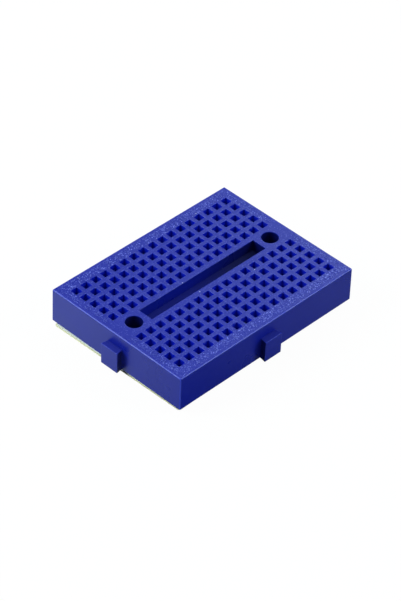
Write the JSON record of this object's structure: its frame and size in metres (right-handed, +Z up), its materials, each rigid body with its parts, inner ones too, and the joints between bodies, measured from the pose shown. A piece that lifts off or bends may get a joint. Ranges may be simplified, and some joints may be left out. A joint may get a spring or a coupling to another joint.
{
  "type": "solderless breadboard",
  "caption": "Miniature solderless breadboard: moulded block with square tie points, a centre channel, dovetail tabs, spring contacts and an adhesive foam base.",
  "frame": {"origin": "middle of the tie-point grid, on the plane the board rests on, which is the underside of its release liner", "axes": "+X along the 17 numbered columns, away from the short side that has a tab; +Y across them, from row a to row j, away from the long side that has a tab; +Z up, out of the tie-point face"},
  "size_m": [0.0485, 0.0367, 0.0085],
  "materials": {
    "housing_plastic": "royal blue moulded ABS, fine matte texture on top, satin sides",
    "contact_metal": "phosphor bronze strip with bright nickel or tin plating",
    "adhesive_foam": "white closed-cell foam tape, adhesive on both faces",
    "release_paper": "pale yellow waxed release paper"
  },
  "bodies": {
    "board": {"housing": "housing_plastic", "foam_pad": "adhesive_foam", "contact_clip_ae_01": "contact_metal", "contact_clip_fj_01": "contact_metal", "contact_clip_ae_02": "contact_metal", "contact_clip_fj_02": "contact_metal", "contact_clip_ae_03": "contact_metal", "contact_clip_fj_03": "contact_metal", "contact_clip_ae_04": "contact_metal", "contact_clip_fj_04": "contact_metal", "contact_clip_ae_05": "contact_metal", "contact_clip_fj_05": "contact_metal", "contact_clip_ae_06": "contact_metal", "contact_clip_fj_06": "contact_metal", "contact_clip_ae_07": "contact_metal", "contact_clip_fj_07": "contact_metal", "contact_clip_ae_08": "contact_metal", "contact_clip_fj_08": "contact_metal", "contact_clip_ae_09": "contact_metal", "contact_clip_fj_09": "contact_metal", "contact_clip_ae_10": "contact_metal", "contact_clip_fj_10": "contact_metal", "contact_clip_ae_11": "contact_metal", "contact_clip_fj_11": "contact_metal", "contact_clip_ae_12": "contact_metal", "contact_clip_fj_12": "contact_metal", "contact_clip_ae_13": "contact_metal", "contact_clip_fj_13": "contact_metal", "contact_clip_ae_14": "contact_metal", "contact_clip_fj_14": "contact_metal", "contact_clip_ae_15": "contact_metal", "contact_clip_fj_15": "contact_metal", "contact_clip_ae_16": "contact_metal", "contact_clip_fj_16": "contact_metal", "contact_clip_ae_17": "contact_metal", "contact_clip_fj_17": "contact_metal"},
    "liner": {"release_liner": "release_paper"}
  },
  "joints": [
    {"name": "liner_peel", "type": "slide", "parent": "board", "child": "liner", "axis": [-1, 0, 0], "range_m": [0, 0.05]}
  ]
}
